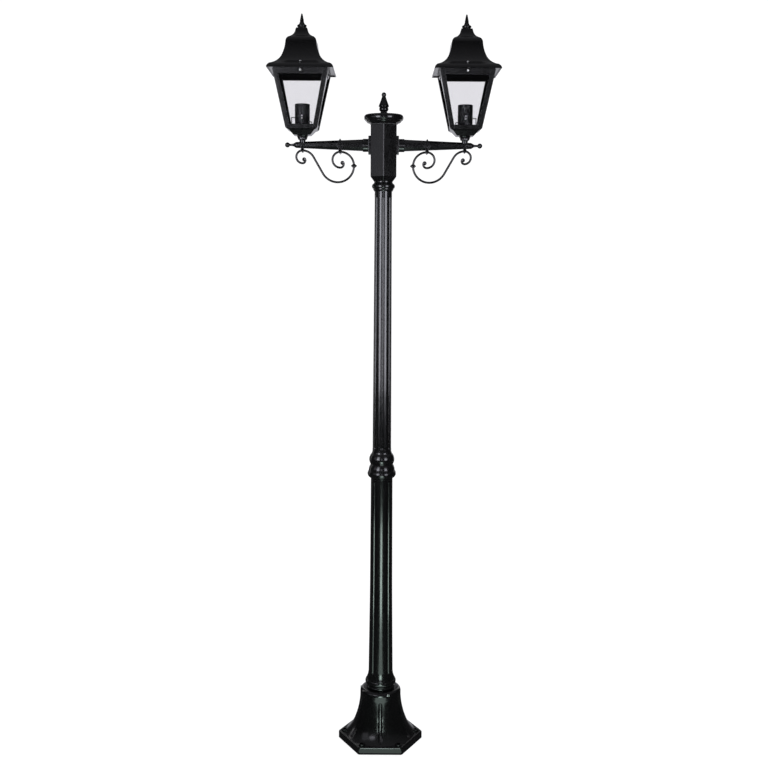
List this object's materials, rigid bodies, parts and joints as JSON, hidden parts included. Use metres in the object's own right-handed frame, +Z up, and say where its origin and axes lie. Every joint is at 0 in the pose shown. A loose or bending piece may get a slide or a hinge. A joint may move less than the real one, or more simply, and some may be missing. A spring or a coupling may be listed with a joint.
{
  "type": "twin head post light",
  "caption": "Garden post light: flared hexagonal base, fluted stepped post, hub with two scroll arms and square tapering glazed lanterns with lift-off bell roofs.",
  "frame": {"origin": "centre of the base's underside, at ground level", "axes": "+Z up along the post, +X along the right arm, so that -Y faces the viewer in the picture"},
  "size_m": [0.6856, 0.2372, 2.28],
  "materials": {
    "black_coat": "semi-gloss powder coat over cast aluminium",
    "zinc_steel": "bright zinc plated",
    "galvanised_steel": "dull galvanised",
    "clear_glass": "clear, polished edges hidden in the frame",
    "holder_black": "moulded, semi-gloss",
    "terminal_plastic": "moulded",
    "gasket_rubber": "matt",
    "brass": "turned"
  },
  "bodies": {
    "post": {"arm_bolts": "zinc_steel", "arm_clips": "black_coat", "base_casting": "black_coat", "base_set_screws": "zinc_steel", "base_sleeve": "galvanised_steel", "earth_stud": "brass", "foot_collar": "black_coat", "holder_screws": "zinc_steel", "hub_cap": "black_coat", "hub_column": "black_coat", "hub_finial": "black_coat", "hub_gasket": "gasket_rubber", "left_arm": "black_coat", "left_arm_finial": "black_coat", "left_arm_flange": "black_coat", "left_corner_pillars": "black_coat", "left_glass_panes": "clear_glass", "left_holder_bracket": "galvanised_steel", "left_lampholder": "holder_black", "left_pan": "black_coat", "left_scroll": "black_coat", "left_stem": "black_coat", "left_top_rail": "black_coat", "lower_collar": "black_coat", "lower_shaft": "black_coat", "mid_sleeve": "galvanised_steel", "neck_ring": "black_coat", "neck_sleeve": "galvanised_steel", "nipple_nuts": "zinc_steel", "nipples": "zinc_steel", "rail_screws": "zinc_steel", "right_arm": "black_coat", "right_arm_finial": "black_coat", "right_arm_flange": "black_coat", "right_corner_pillars": "black_coat", "right_glass_panes": "clear_glass", "right_holder_bracket": "galvanised_steel", "right_lampholder": "holder_black", "right_pan": "black_coat", "right_scroll": "black_coat", "right_stem": "black_coat", "right_top_rail": "black_coat", "scroll_bosses": "black_coat", "stem_clips": "black_coat", "terminal_block": "terminal_plastic", "tie_nut": "zinc_steel", "tie_rod": "zinc_steel", "tie_washer": "zinc_steel", "upper_collar": "black_coat", "upper_shaft": "black_coat"},
    "left_roof": {"left_roof": "black_coat", "left_roof_screws": "zinc_steel", "left_roof_knob": "black_coat", "left_spire": "black_coat"},
    "right_roof": {"right_roof": "black_coat", "right_roof_screws": "zinc_steel", "right_roof_knob": "black_coat", "right_spire": "black_coat"}
  },
  "joints": [
    {"name": "left_roof_lift", "type": "slide", "parent": "post", "child": "left_roof", "axis": [0, 0, 1], "range_m": [0, 0.15]},
    {"name": "right_roof_lift", "type": "slide", "parent": "post", "child": "right_roof", "axis": [0, 0, 1], "range_m": [0, 0.15]}
  ]
}
